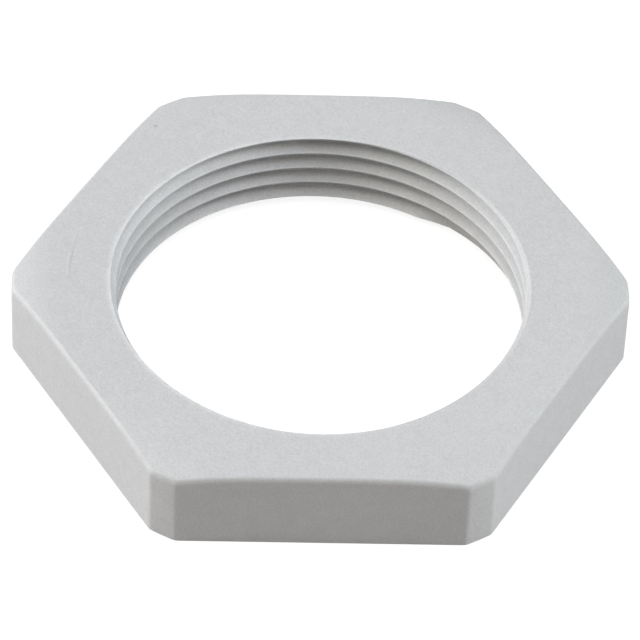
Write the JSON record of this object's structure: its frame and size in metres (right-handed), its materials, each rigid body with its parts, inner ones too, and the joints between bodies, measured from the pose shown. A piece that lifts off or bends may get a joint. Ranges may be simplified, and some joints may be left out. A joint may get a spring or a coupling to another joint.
{
  "type": "cable gland locknut",
  "caption": "Flat hexagonal plastic locknut with turned-off corners, a shallow top chamfer and a right-hand fine thread in its bore, for fixing a cable gland to a panel.",
  "frame": {"origin": "centre of the bore on the flat seating face, which the nut rests on", "axes": "+Z along the bore's axis towards the chamfered face, X through two opposite corners, Y square to two opposite spanner flats"},
  "size_m": [0.0462, 0.041, 0.0068],
  "materials": {
    "polyamide": "matt moulded light grey polyamide with a fine grain"
  },
  "bodies": {
    "root": {"locknut": "polyamide"}
  },
  "joints": []
}
